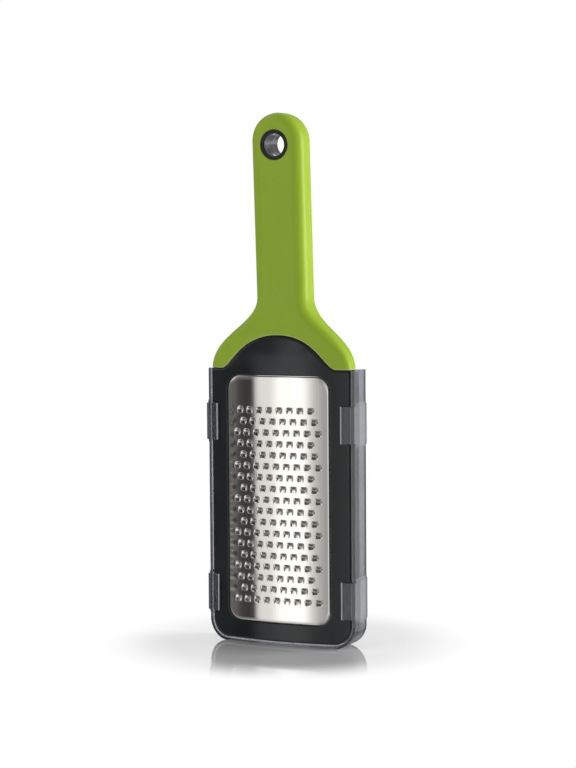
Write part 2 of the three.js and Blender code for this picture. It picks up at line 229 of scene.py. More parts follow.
containerLook = {"base": "#d8dade", "dense": "#d0d3d9", "flow": 30.0, "swirl": 0.8,
                 "smoke": "#7a7a8c", "density": 185.0, "haze": 0.015, "edgeHaze": 0.9, "shadow": "#2a2b30",
                 "roughness": (0.03, 0.08), "refraction": 1.57}


# Styrene-acrylonitrile moulded in a polished tool and tinted grey: clear and glossy, darker the further one looks
# through it, faintly blue, with a slight haze and flow marks that vary its tint a little. Its narrow edges gather light
# and show as pale lines, its pads are a little cloudy, and a painted shade darkens the rounded edge of its back and
# the front faces low at its bottom, where a clear edge looks dark.
def makeSmokyPlastic(look):
    material, tree, place = newMaterial("san_moulded_smoky_clear")
    flow, edge = addNoise(tree, place, look["flow"], 2.0, look["swirl"]), addMark(tree, "edge")
    colour = addRamp(tree, flow, look["dense"], look["base"])
    # Painted shade: faces marked below 0 are mixed towards the shadow colour
    paintedShade = addNode(tree, "MapRange", {"From Min": 0.0, "From Max": -1.0}, {"Value": edge})
    smoke = addNode(tree, "VolumeAbsorption", {"Color": linear(look["smoke"]), "Density": look["density"]})
    return shade(material, {"IOR": look["refraction"]},
                 {"Base Color": addMix(tree, paintedShade.outputs[0], colour, linear(look["shadow"])),
                  "Roughness": addRange(tree, flow, *look["roughness"]),
                  "Transmission Weight": addRange(tree, edge, 1 - look["haze"], 1 - look["edgeHaze"])},
                 {"Volume": smoke.outputs[0]})


softGrip = makeSoftGrip(gripLook)
blackPlastic = makeBlackPlastic(frameLook)
brushedSteel = makeBrushedSteel(bladeLook)
polishedSteel = makePolishedSteel(sleeveLook)
smokyPlastic = makeSmokyPlastic(containerLook)
print("materials made")


# Quads of one or more grids of point numbers
def quadsOf(grid):
    corners = [grid[..., :-1, :-1], grid[..., :-1, 1:], grid[..., 1:, 1:], grid[..., 1:, :-1]]
    return np.stack(corners, axis=-1).reshape(-1, 4)


# Numbers of points kept row by row
def numbered(shape, start=0):
    return start + np.arange(math.prod(shape)).reshape(shape)


# A mesh from points in mm and quads: seams and folded quads are welded, loose points go, a closed shell is turned
# outwards, and edges are smooth up to an angle in degrees
def putMesh(name, points, faces, material, closed=True, sharpest=38, weld=0.004):
    mesh = bpy.data.meshes.new(name)
    mesh.vertices.add(len(points))
    mesh.vertices.foreach_set("co", (points * mm).astype(np.float32).ravel())
    mesh.loops.add(faces.size)
    mesh.loops.foreach_set("vertex_index", faces.astype(np.int32).ravel())
    mesh.polygons.add(len(faces))
    mesh.polygons.foreach_set("loop_start", np.arange(0, faces.size, 4, dtype=np.int32))
    mesh.update(calc_edges=True)
    work = bmesh.new()
    work.from_mesh(mesh)
    bmesh.ops.remove_doubles(work, verts=work.verts, dist=weld * mm)
    bmesh.ops.delete(work, geom=[point for point in work.verts if not point.link_faces], context="VERTS")
    if closed:
        bmesh.ops.recalc_face_normals(work, faces=work.faces)
    work.to_mesh(mesh)
    work.free()
    mesh.polygons.foreach_set("use_smooth", np.ones(len(mesh.polygons), dtype=bool))
    mesh.set_sharp_from_angle(angle=math.radians(sharpest))
    mesh.materials.append(material)
    piece = bpy.data.objects.new(name, mesh)
    scene.collection.objects.link(piece)
    return piece


# One mesh from several grids of points
def putGrids(name, grids, material, closed=True):
    points = np.concatenate([grid.reshape(-1, 3) for grid in grids])
    starts = np.cumsum([0] + [grid.size // 3 for grid in grids])
    faces = np.concatenate([quadsOf(numbered(grid.shape[:2], start)) for grid, start in zip(grids, starts)])
    return putMesh(name, points, faces, material, closed)


# A vector of each vertex or polygon
def valuesOf(items, key):
    flat = np.empty(len(items) * 3, dtype=np.float32)
    items.foreach_get(key, flat)
    return flat.reshape(-1, 3)


# A number on each vertex or polygon for the material to read
def mark(piece, name, domain, values):
    piece.data.attributes.new(name, "FLOAT", domain).data.foreach_set("value", values.astype(np.float32))


def fit(piece, body, slotName, *nodes):
    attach(piece, body)
    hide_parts(*nodes)


# Grids of the right half, and the same for the left
def bothSides(grids):
    return grids + [grid[:, ::-1] * np.array([-1.0, 1.0, 1.0]) for grid in grids]


# Grid of points from one line over to another
def spanned(first, second, shares):
    return first[:, None] + (second - first)[:, None] * shares[:, None]


def smoothStep(share):
    share = np.clip(share, 0, 1)
    return share * share * (3 - 2 * share)


def blendOf(low, high, share):
    return low + (high - low) * share


# Cubic Bezier curve through its four control points
def bezier(controls, count=201):
    t = np.linspace(0, 1, count)[:, None]
    a, b, c, d = (np.array(control, float) for control in controls)
    return (1 - t) ** 3 * a + 3 * (1 - t) ** 2 * t * b + 3 * (1 - t) * t ** 2 * c + t ** 3 * d


def arc(centre, radius, start, end, count=91):
    angle = np.radians(np.linspace(start, end, count))
    return np.stack([centre[0] + radius * np.cos(angle), centre[1] + radius * np.sin(angle)], axis=-1)


def line(start, end, count=2):
    return np.linspace(np.array(start, float), np.array(end, float), count)


# Lines end to end, each later one without its first point
def joined(*lines):
    return np.concatenate([lines[0]] + [part[1:] for part in lines[1:]])


def lengthAlong(path):
    return np.concatenate([[0.0], np.cumsum(np.hypot(*np.diff(path, axis=0).T))])


# Points at the given shares of a line's length
def along(path, shares):
    length = lengthAlong(path)
    return np.stack([np.interp(shares * length[-1], length, path[:, axis]) for axis in (0, 1)], axis=-1)


# Shortest distance from each point to a line
def distanceTo(points, path):
    flat = points.reshape(-1, 1, 2)
    start, step = path[:-1], np.diff(path, axis=0)
    share = np.clip(((flat - start) * step).sum(-1) / (step * step).sum(-1), 0, 1)
    apart = flat - start - share[..., None] * step
    return np.hypot(apart[..., 0], apart[..., 1]).min(axis=1).reshape(points.shape[:-1])


# How far a rounded edge falls at a distance in from it: r - sqrt(r^2 - (r - d)^2)
def edgeFall(distance, radius):
    inside = radius - np.minimum(distance, radius)
    return radius - np.sqrt(radius ** 2 - inside ** 2)


# Steps that are closest at both ends
def easedSteps(count):
    return 0.5 - 0.5 * np.cos(np.pi * np.linspace(0, 1, count))


# Points of (x, z) and their y as points in space
def withDepth(flat, y):
    return np.stack([flat[..., 0], y, flat[..., 1]], axis=-1)


frameShape = {
    "halfWidth": 43.4, "bottom": 2.2, "corner": 10.2, "depth": 9.5, "dome": 175.0, "sideFront": -9.0,
    "shoulder": 156.4,
    "shoulderSide": 6.0,  # below the shoulder, where the side's points stand closer
    "frontHalf": 4.5, "outerEdge": 0.9, "lip": 1.8, "pocket": 1.9,
    "backHalf": 4.8, "backTop": 155.3, "backShoulder": 10.0, "backEdge": 0.8,
    "windowHalf": 32.0, "windowBottom": 12.7, "windowTop": 153.05, "windowCorner": 8.5, "windowEdge": 0.5,
    "archHalf": 35.5, "archTop": 175.4, "archFoot": 6.5, "archCrown": 24.0,
    "seamDepth": 1.2, "tongueFoot": 0.8, "tongueEdge": 0.5,
    "grooveIn": 1.2, "grooveLow": -3.67, "grooveHigh": -0.47, "grooveTop": 149.3, "plainFrom": 149.31,
    "steps": {"bottom": 16, "corner": 17, "side": 24, "shoulder": 9, "ledge": 10, "arch": 40, "backTop": 30,
              "tongueArch": 48, "tongueFoot": 8},
    "columns": {"front": 18, "inside": 4, "tongue": 14, "back": 16},
}
gripShape = {
    "halfWidth": 15.7, "top": 300.0, "halfDepth": 9.5, "edge": 6.5, "back": 9.0,
    "lean": 3.0,  # degrees
    "neck": 197.0, "neckMiddle": -0.5, "neckFall": 15.8,
    "shoulderRise": 18.8, "shoulderTuck": 0.5, "footBlend": 5.0, "yokeEdge": 2.6,
    # lipLine and lipFade, in mm: how the painted highlight along the arch fades, and how far in from the arch it
    # reaches
    "proud": 0.5, "gap": 0.3, "archLip": 0.7, "lipLine": 0.25, "lipFade": 0.6,
    "holeHeight": 282.4, "holeRadius": 8.42, "holeLip": 0.35, "headStart": 268.0,
    "yokeShare": 0.7,  # of the shoulder's curve, beside the arch
    "rows": {"yoke": 48, "shaft": 48, "head": 49},
    "columns": {"face": 18, "edge": 12, "wall": 5},
}
domeRadius = frameShape["dome"]
domeCrown = frameShape["sideFront"] - domeRadius + math.sqrt(domeRadius ** 2 - frameShape["halfWidth"] ** 2)


# The domed front at a depth behind it: a cylinder about an upright axis
def domeAt(x, depth=0.0):
    return domeCrown + domeRadius - np.sqrt((domeRadius - depth) ** 2 - x ** 2)


# How far the yoke has turned into the handle: 0 at the shoulders, 1 from the neck up
def handleShare(z):
    return smoothStep((z - frameShape["shoulder"]) / (gripShape["neck"] - frameShape["shoulder"]))


# Middle surface of yoke and handle: domed below, flat and leaning forward above the neck
def middleAt(x, z):
    leaning = gripShape["neckMiddle"] - (z - gripShape["neck"]) * math.tan(math.radians(gripShape["lean"]))
    return blendOf(domeAt(x) + frameShape["depth"] / 2, leaning, handleShare(z))


def gripDepthAt(z):
    return blendOf(frameShape["depth"] / 2 + gripShape["proud"], gripShape["halfDepth"], handleShare(z))


# Front of bezel and tongue in one surface, a little behind the grip's
def bezelFront(x, z):
    return middleAt(x, z) - gripDepthAt(z) + gripShape["proud"]


# The black arch from its foot to its crown, grown by a margin
def archLine(margin, count=201):
    foot, low = frameShape["archHalf"] + margin, frameShape["shoulder"] + margin
    top = frameShape["archTop"] + margin
    return bezier([(foot, low), (foot - frameShape["archFoot"], low), (frameShape["archCrown"], top), (0, top)], count)


# Half of the grip as sheets of (along the outline, across it): from the arch, the middle line or the hole out to
# the rounded edge, at a half depth either side of the middle surface
def makeGrip(shape):
    foot, neck, half = frameShape["shoulder"] + shape["gap"], shape["neck"], shape["halfWidth"]
    crown, headStart = shape["top"] - half, (half, shape["headStart"])
    rows, columns = shape["rows"], shape["columns"]
    side = bezier([(frameShape["halfWidth"], foot),
                   (frameShape["halfWidth"] - shape["shoulderTuck"], foot + shape["shoulderRise"]),
                   (half, neck - shape["neckFall"]), (half, neck)])
    yokeEnd = round(shape["yokeShare"] * (len(side) - 1))
    yokeSteps, shaftSteps = np.linspace(0, 1, rows["yoke"]), easedSteps(rows["shaft"])
    outline = joined(
        along(side[:yokeEnd + 1], yokeSteps),
        along(joined(side[yokeEnd:], line((half, neck), headStart)), shaftSteps),
        along(joined(line(headStart, (half, crown)), arc((0, crown), half, 0, 90)), np.linspace(0, 1, rows["head"])))
    tangent = np.gradient(outline, lengthAlong(outline), axis=0)
    normal = np.stack([tangent[:, 1], -tangent[:, 0]], axis=-1)
    lift = smoothStep((outline[:, 1:] - foot) / shape["footBlend"])
    normal = blendOf(np.array([1.0, 0.0]), normal, lift)
    normal /= np.linalg.norm(normal, axis=1, keepdims=True)
    edge = blendOf(shape["yokeEdge"], shape["edge"], handleShare(outline[:, 1:]))
    inset = outline - normal * edge
    arch = archLine(shape["gap"])
    rim = joined(line((frameShape["halfWidth"], foot), arch[0]), arch)
    turn = np.radians(np.linspace(0, 90, columns["edge"]))[1:]

    def sheet(sense):
        drop = sense * shape["halfDepth"] * math.sin(math.radians(shape["lean"]))
        hole = np.array([0.0, shape["holeHeight"] + drop])
        inner = joined(
            along(joined(line(inset[0], arch[0]), arch), yokeSteps),
            along(line(arch[-1], hole - (0, shape["holeRadius"])), shaftSteps),
            arc(hole, shape["holeRadius"], -90, 90, rows["head"]))
        face = spanned(inner, inset, np.linspace(0, 1, columns["face"]) ** 2)
        flat = np.concatenate([face, spanned(inset, outline, np.sin(turn))], axis=1)
        x, z = flat[..., 0], flat[..., 1]
        depth = gripDepthAt(z) - edgeFall(distanceTo(flat, rim), shape["archLip"])
        depth -= edgeFall(np.maximum(np.hypot(x, z - hole[1]) - shape["holeRadius"], 0), shape["holeLip"])
        depth[:, columns["face"]:] -= edge * (1 - np.cos(turn))
        return withDepth(flat, np.minimum(middleAt(x, z) + sense * depth, shape["back"]))

    front, back = sheet(-1), sheet(1)
    sideWall, innerWall = (spanned(front[:, column], back[:, column], np.linspace(0, 1, columns["wall"]))
                           for column in (-1, 0))
    footCap = np.stack([front[0, columns["face"] - 1:], back[0, columns["face"] - 1:]])
    grids = bothSides([front, back, sideWall, innerWall[:rows["yoke"]], innerWall[-rows["head"]:], footCap])
    piece = putGrids("grip", grids, softGrip)
    places = np.abs(valuesOf(piece.data.vertices, "co")[:, ::2]) / mm
    # Painted highlight: full in a thin line along the arch and the foot, fading to none further in
    mark(piece, "lip", "POINT", np.clip((shape["lipFade"] - distanceTo(places, rim)) / shape["lipLine"], 0, 1))
    fit(piece, "grater", "soft_grip", "grip")


makeGrip(gripShape)
print("grip made")


# Half of a rounded outline from its lower middle round the corner and up the side
def lowerHalf(half, low, corner, top):
    steps = frameShape["steps"]
    return joined(
        line((0, low), (half - corner, low), steps["bottom"]),
        arc((half - corner, low + corner), corner, -90, 0, steps["corner"]),
        line((half, low + corner), (half, top), steps["side"]))


# Half of the window grown by a margin, with as many points as the outline
def windowHalf(margin, topSteps):
    half, corner = frameShape["windowHalf"] + margin, frameShape["windowCorner"] + margin
    low, high = frameShape["windowBottom"] - margin, frameShape["windowTop"] + margin
    cornerSteps = frameShape["steps"]["shoulder"] + frameShape["steps"]["ledge"] - 1
    return joined(
        lowerHalf(half, low, corner, high - corner),
        arc((half - corner, high - corner), corner, 0, 90, cornerSteps),
        line((half - corner, high), (0, high), topSteps))


# Bezel and tongue: a band from the window to the outline on the domed front, both edges rounded, with walls behind
def makeFrontFrame(shape):
    steps, columns = shape["steps"], shape["columns"]
    window, pocket = windowHalf(0, steps["arch"]), windowHalf(shape["pocket"], steps["arch"])
    half, high = shape["halfWidth"], shape["shoulder"]
    sideTop = high - shape["shoulderSide"]
    outline = joined(
        lowerHalf(half, shape["bottom"], shape["corner"], sideTop),
        line((half, sideTop), (half, high), steps["shoulder"]),
        line((half, high), (shape["archHalf"], high), steps["ledge"]),
        archLine(0, steps["arch"]))
    flat = spanned(window, outline, easedSteps(columns["front"]))
    x, z = flat[..., 0], flat[..., 1]
    y = bezelFront(x, z) + edgeFall(distanceTo(flat, window), shape["windowEdge"])
    y += edgeFall(distanceTo(flat, outline), shape["outerEdge"])
    front = withDepth(flat, y)
    outerWall = np.stack([front[:, -1], withDepth(outline, bezelFront(*outline.T) + shape["frontHalf"])], axis=1)
    ledge = [withDepth(path, bezelFront(*path.T) + depth) for path, depth in
             ((window, shape["lip"]), (pocket, shape["lip"]), (pocket, shape["frontHalf"]))]
    innerWall = np.stack([front[:, 0]] + ledge, axis=1)
    rear = spanned(pocket, outline, np.linspace(0, 1, columns["inside"]))
    back = withDepth(rear, bezelFront(rear[..., 0], rear[..., 1]) + shape["frontHalf"])
    grids = bothSides([front, outerWall, innerWall, back])
    fit(putGrids("frame_bezel", grids, blackPlastic), "grater", "black_plastic", "frame_front")


# The tongue's rear: columns from a straight foot up to the grip's lower edge, between the bezel and the grip's back
def makeTongueRear(shape):
    steps = shape["steps"]
    arch = archLine(gripShape["gap"], steps["tongueArch"])
    side = shape["halfWidth"] - shape["outerEdge"]
    arch = joined(line((side, arch[0, 1]), arch[0], steps["tongueFoot"]), arch)
    foot = np.stack([arch[:, 0], np.full(len(arch), shape["shoulder"] - shape["tongueFoot"])], axis=-1)
    flat = spanned(foot, arch, easedSteps(shape["columns"]["tongue"]))
    x, z = flat[..., 0], flat[..., 1]
    fall = edgeFall(distanceTo(flat, arch), shape["tongueEdge"])
    rear = withDepth(flat, middleAt(x, z) + gripDepthAt(z) - gripShape["proud"] - fall)
    front = withDepth(flat, bezelFront(x, z) + shape["seamDepth"])
    walls = [np.stack([rear[:, 0], front[:, 0]], axis=1), np.stack([rear[:, -1], front[:, -1]], axis=1),
             np.stack([rear[0], front[0]], axis=1)]
    grids = bothSides([rear, front] + walls)
    fit(putGrids("frame_tongue_rear", grids, blackPlastic), "grater", "black_plastic", "frame_front")


makeFrontFrame(frameShape)
makeTongueRear(frameShape)
print("front frame made")


# The retaining half: the same band at the back, with a guide groove in each side below its stop
def makeBackFrame(shape):
    half, high, steps = shape["halfWidth"], shape["backTop"], shape["steps"]
    shoulder, stop = half - shape["backShoulder"], shape["grooveTop"]
    window = windowHalf(0, steps["backTop"])
    outline = joined(
        lowerHalf(half, shape["bottom"], shape["corner"], stop),
        line((half, shape["plainFrom"]), (half, high), steps["shoulder"]),
        line((half, high), (shoulder, high), steps["ledge"]),
        line((shoulder, high), (0, high), steps["backTop"]))
    flat = spanned(window, outline, easedSteps(shape["columns"]["back"]))
    fall = edgeFall(distanceTo(flat, window), shape["windowEdge"])
    fall += edgeFall(distanceTo(flat, outline), shape["backEdge"])
    rear = withDepth(flat, domeAt(flat[..., 0], shape["depth"]) - fall)
    front = withDepth(flat, domeAt(flat[..., 0], shape["backHalf"]))
    innerWall = np.stack([rear[:, 0], front[:, 0]], axis=1)
    floor = half - shape["grooveIn"]
    grooved = (outline[:, 1] <= stop) & (outline[:, 0] > floor)
    inset = np.stack([np.where(grooved, floor, outline[:, 0]), outline[:, 1]], axis=-1)
    lowY, highY = (np.clip(shape[key], front[:, -1, 1], rear[:, -1, 1]) for key in ("grooveLow", "grooveHigh"))
    outerWall = np.stack([front[:, -1], withDepth(outline, lowY), withDepth(inset, lowY), withDepth(inset, highY),
                          withDepth(outline, highY), rear[:, -1]], axis=1)
    grids = bothSides([rear, front, innerWall, outerWall])
    fit(putGrids("frame_retainer", grids, blackPlastic), "grater", "black_plastic", "frame_back")


makeBackFrame(frameShape)
print("back frame made")

bladeShape = {
    "gap": 0.3, "sheet": 0.3, "rim": 0.7, "rimSteps": 6, "flangeDepth": 2.1, "flangeReach": 1.5,
    "sharpest": 30,  # degrees
    "pitch": 6.35, "rows": 18, "firstRow": 133.2, "halfColumns": 27,
    "cells": 6,  # to a pitch
    "shifts": (-1, 1, 0),  # cells, row by row in turn
    "teeth": (8, 8, 9),
    "wave": 0.13,
    "waveStart": (26.5, 2.5),  # where it starts left of the middle, and the width in which it grows
    "waveEnd": (30.5, 2.0),
    "waveRun": 3.0,  # past the first and last rows
    "rise": 1.1, "riseShare": 0.8, "arch": 0.08, "halfWidth": 2.15, "halfLength": 2.25,
    "roundBelow": 2.6, "squareAbove": 5.0,  # exponents n of the outline |x|^n + |z|^n = 1
    "mouthHalf": 1.65, "mouthTop": 0.5, "mouthFoot": -1.85,
    "hood": [(-0.08, 0.0), (0.0, 0.0), (0.4, 0.56), (1.0, 1.0)],  # shares of the way to the mouth and of the rise
    "rampTop": 0.8, "rampSink": 0.6,
    "rampSteps": [(0.0, 1.0), (0.25, 1.3), (0.6, 1.5), (1.0, 1.5)],  # shares of the ramp's length and of its width
}


# Arc length across the dome, height above it and z to a point
def onDome(across, out, z):
    radius, angle = domeRadius + out, across / domeRadius
    y = domeCrown + domeRadius - radius * np.cos(angle)
    return np.stack(np.broadcast_arrays(radius * np.sin(angle), y, z), axis=-1)


# A rectangle's border point moved onto a rounded rectangle of the same half sizes, towards the corner's centre
def ontoRounded(points, centre, size, radius):
    offset = points - centre
    core = np.clip(offset, radius - size, size - radius)
    out = offset - core
    length = np.linalg.norm(out, axis=-1, keepdims=True)
    return centre + core + np.where(length > 0, out / np.maximum(length, 1e-9) * np.minimum(length, radius), 0)


# Border of a block of cells, clockwise from its upper left corner, as rows and columns
def blockBorder(rows, columns):
    top = [(0, column) for column in range(columns)]
    right = [(row, columns) for row in range(rows)]
    bottom = [(rows, column) for column in range(columns, 0, -1)]
    left = [(row, 0) for row in range(rows, 0, -1)]
    return np.array(top + right + bottom + left).T


# Waves that the press leaves in the plain left margin beside the rows, as heights over the dome
def marginWave(shape, across, z):
    (start, growth), (end, decay), run = shape["waveStart"], shape["waveEnd"], shape["waveRun"]
    low = shape["firstRow"] - (shape["rows"] - 1) * shape["pitch"]
    share = smoothStep((-across - start) / growth) * (1 - smoothStep((-across - end) / decay))
    share = share * smoothStep((shape["firstRow"] + run - z) / (2 * run)) * smoothStep((z - low + run) / (2 * run))
    return shape["wave"] * share * np.cos((z - shape["firstRow"]) / shape["pitch"] * 2 * np.pi)


# The pressed blade: a grid of cells on the dome. Each tooth takes a block one pitch wide and high, filled with loops
# of points from the block's border up the arched hood to its lip, whose legs come down to the mouth's foot. From that
# foot a ramp sinks behind the plate and up under the lip, so the mouth is the slot between lip and ramp.
def makeBlade(shape):
    cells, halfColumns = shape["cells"], shape["halfColumns"]
    cell = shape["pitch"] / cells
    rows, columns = shape["rows"] * cells, halfColumns * 2
    top = shape["firstRow"] + shape["pitch"] / 2
    across, height = np.meshgrid((np.arange(columns + 1) - halfColumns) * cell, top - np.arange(rows + 1) * cell)
    base = onDome(across, marginWave(shape, across, height), height).reshape(-1, 3)
    turns = np.arange(shape["rows"]) % len(shape["teeth"])
    starts = [(row * cells, halfColumns + shape["shifts"][turn] + cells * index - shape["teeth"][turn] * cells // 2)
              for row, turn in enumerate(turns) for index in range(shape["teeth"][turn])]
    startRow, startColumn = np.array(starts).T
    plain = np.ones((rows, columns), dtype=bool)
    inside = np.arange(cells)
    plain[(startRow[:, None] + inside)[:, :, None], (startColumn[:, None] + inside)[:, None, :]] = False
    faces = [quadsOf(numbered((rows + 1, columns + 1)))[plain.ravel()]]

    borderRow, borderColumn = blockBorder(cells, cells)
    square = np.stack([borderColumn / cells * 2 - 1, 1 - borderRow / cells * 2], axis=-1)
    rounding = np.where(square[:, 1:] < 0, shape["roundBelow"], shape["squareAbove"])
    rounded = square / (np.abs(square) ** rounding).sum(-1, keepdims=True) ** (1 / rounding)
    upper = (square[:, 1] + 1) / 2  # 0 along the mouth's foot, 1 along the top
    outer = rounded * [shape["halfWidth"], shape["halfLength"]]
    mouthTop, mouthFoot = shape["mouthTop"], shape["mouthFoot"]
    mouth = rounded * [shape["mouthHalf"], (mouthTop - mouthFoot) / 2] + [0, (mouthTop + mouthFoot) / 2]
    raised = shape["rise"] * smoothStep(upper / shape["riseShare"]) * (1 - shape["arch"] * square[:, 0] ** 2)
    centreAcross = (startColumn + cells / 2 - halfColumns) * cell
    centreHeight = top - (startRow + cells / 2) * cell
    rings = [startRow[:, None] * (columns + 1) + startColumn[:, None] + borderRow * (columns + 1) + borderColumn]
    points = [base]
    made = len(base)
    for inwards, lift in shape["hood"]:
        loop = blendOf(outer, mouth, inwards)
        teeth = onDome(centreAcross[:, None] + loop[:, 0], raised * lift, centreHeight[:, None] + loop[:, 1])
        points.append(teeth.reshape(-1, 3))
        rings.append(numbered(teeth.shape[:2], made))
        made += rings[-1].size
    rings = np.stack(rings, axis=1)
    faces.append(quadsOf(np.concatenate([rings, rings[..., :1]], axis=-1)))

    foot = mouth[2 * cells:3 * cells + 1]
    steps = np.array(shape["rampSteps"])
    rampHeight = blendOf(foot[:, 1], shape["rampTop"], steps[:, :1])
    ramps = onDome(centreAcross[:, None, None] + foot[:, 0] * steps[:, 1:], -shape["rampSink"] * steps[:, :1],
                   centreHeight[:, None, None] + rampHeight)
    points.append(ramps.reshape(-1, 3))
    faces.append(quadsOf(numbered(ramps.shape[:3], made)))
    made += ramps.size // 3

    half = domeRadius * math.asin((frameShape["windowHalf"] - shape["gap"]) / domeRadius)
    low, high = frameShape["windowBottom"] + shape["gap"], frameShape["windowTop"] - shape["gap"]
    centre, halfSize = np.array([0.0, (low + high) / 2]), np.array([half, (high - low) / 2])
    borderRow, borderColumn = blockBorder(rows, columns)
    field = np.stack([(borderColumn - halfColumns) * cell, top - borderRow * cell], axis=-1)
    share = np.stack([borderColumn / columns * 2 - 1, 1 - borderRow / rows * 2], axis=-1)

    def edgeRing(inset):
        size = halfSize - inset
        return ontoRounded(centre + share * size, centre, size, frameShape["windowCorner"] - shape["gap"] - inset)

    inner = edgeRing(shape["rim"])
    turn = np.radians(np.linspace(0, 90, shape["rimSteps"] + 1))[1:]
    rim = [(blendOf(field, inner, part), 0.0) for part in np.linspace(0, 1, shape["rimSteps"])]
    rim += [(edgeRing(shape["rim"] * (1 - math.sin(angle))), -shape["rim"] * (1 - math.cos(angle))) for angle in turn]
    rim += [(edgeRing(0), -shape["flangeDepth"]), (edgeRing(-shape["flangeReach"]), -shape["flangeDepth"])]
    band = np.stack([onDome(flat[:, 0], marginWave(shape, *flat.T) + out, flat[:, 1]) for flat, out in rim])
    band = np.concatenate([band, band[:, :1]], axis=1)
    points.append(band.reshape(-1, 3))
    faces.append(quadsOf(numbered(band.shape[:2], made))[:, ::-1])
    piece = putMesh("blade_sheet", np.concatenate(points), np.concatenate(faces)[:, ::-1], brushedSteel, False,
                    shape["sharpest"])
    edges, loops = piece.data.edges, piece.data.loops
    edgeOf, sharp = np.empty(len(loops), dtype=np.int32), np.empty(len(edges), dtype=bool)
    loops.foreach_get("edge_index", edgeOf)
    edges.foreach_get("use_edge_sharp", sharp)
    edges.foreach_set("use_edge_sharp", sharp | (np.bincount(edgeOf, minlength=len(edges)) == 1))  # the cut lips
    thick = piece.modifiers.new("sheet", "SOLIDIFY")
    thick.thickness = shape["sheet"] * mm
    thick.offset = -1
    fit(piece, "grater", "brushed_blade", "blade")


makeBlade(bladeShape)
print("blade made")

# Profiles of (radius, along the axis), each ring's with the outside that both share
holeShape = {
    "frontRing": [(6.3, 8.2), (6.3, 9.0), (6.32, 9.35), (6.5, 9.62), (6.85, 9.72), (7.12, 9.6), (7.25, 9.45),
                  (7.38, 9.6), (7.65, 9.86)],
    "backRing": [(6.3, 8.2), (6.7, 8.9), (7.1, 9.5), (7.5, 9.8)],
    "ringOutside": [(8.0, 9.9), (8.28, 9.68), (8.3, 9.3), (8.3, 7.4), (6.8, 7.4), (6.8, 8.2)],
    "sleeve": [(6.3, -7.7), (6.2, -5.2), (5.9, -4.6), (5.9, 1.6), (6.2, 2.2), (6.3, 7.7), (6.32, 8.1), (6.5, 8.2),
               (6.75, 8.1), (6.75, -8.1), (6.5, -8.2), (6.32, -8.1)],
    "cuts": 2, "sides": 96,
}


# A closed profile, its corners cut at a quarter of each edge, turned about the hole's axis, which leans
def turnedRound(profile, sense):
    loop = np.array(profile, float)
    for _ in range(holeShape["cuts"]):
        following = np.roll(loop, -1, axis=0)
        loop = np.stack([loop * 0.75 + following * 0.25, loop * 0.25 + following * 0.75], axis=1).reshape(-1, 2)
    loop = np.concatenate([loop, loop[:1]])
    angle = np.linspace(0, 2 * np.pi, holeShape["sides"] + 1)[:, None]
    x, y, z = np.broadcast_arrays(loop[:, 0] * np.cos(angle), sense * loop[:, 1], loop[:, 0] * np.sin(angle))
    lean = math.radians(gripShape["lean"])
    height = gripShape["holeHeight"]
    return np.stack([x, float(middleAt(0.0, height)) + y * math.cos(lean) - z * math.sin(lean),
                     height + y * math.sin(lean) + z * math.cos(lean)], axis=-1)


def makeHoleLining(shape):
    for name, sense, profile in (("hole_ring_front", -1, "frontRing"), ("hole_ring_back", 1, "backRing")):
        ring = turnedRound(shape[profile] + shape["ringOutside"], sense)
        piece = putGrids(name + "_moulded", [ring], blackPlastic)
        fit(piece, "grater", "black_plastic", name)
    sleeve = putGrids("hole_sleeve_tube", [turnedRound(shape["sleeve"], 1)], polishedSteel)
    fit(sleeve, "grater", "polished_sleeve", "hole_sleeve")


makeHoleLining(holeShape)
print("hole lining made")

containerShape = {
    "height": 156.4, "outerHalf": 45.7, "wall": 1.9, "corner": 12.5, "back": 9.0, "backEdge": 2.2, "innerEdge": 1.2,
    "middleStart": 30.0,  # where the back's lowest row of points meets the middle line
    "hooks": (27.5, 126.0), "hookHeight": 21.0, "hookTip": 38.5, "hookGap": 0.3, "hookThick": 1.3,
    "padHeight": 25.0, "padProud": 0.6, "padSlope": 1.6,
    "bump": (143.3, -2.07), "bumpHalf": (3.0, 1.1), "bumpProud": 0.8, "bumpRun": 3.2,
    "softEdge": 0.2,
    "softAngle": 50,  # degrees
    "steps": {"bottom": 16, "corner": 17, "side": 34, "bump": 17, "depth": 24, "edge": 8, "floor": 12, "hook": 11},
    # how hazy and so pale or, below 0, how dark with painted shade each kind of face is
    "marks": {"tip": 1.0, "rim": 0.3, "pad": 0.26, "back": -1.0, "foot": -0.8, "front": 0.1, "side": 0.12},
    "facing": {"side": 0.7, "front": 0.8, "turned": 0.3},  # least cosines
    "near": 0.2, "edgeLine": 0.5, "edgeShare": 0.6, "padShare": 0.4, "footTop": 13.5,
    # darkEdge: where the painted shade on the back's rounded edge reaches
    "darkEdge": (1.5, 3.0),  # how far in from the side and forward from the back the dark edge reaches
}


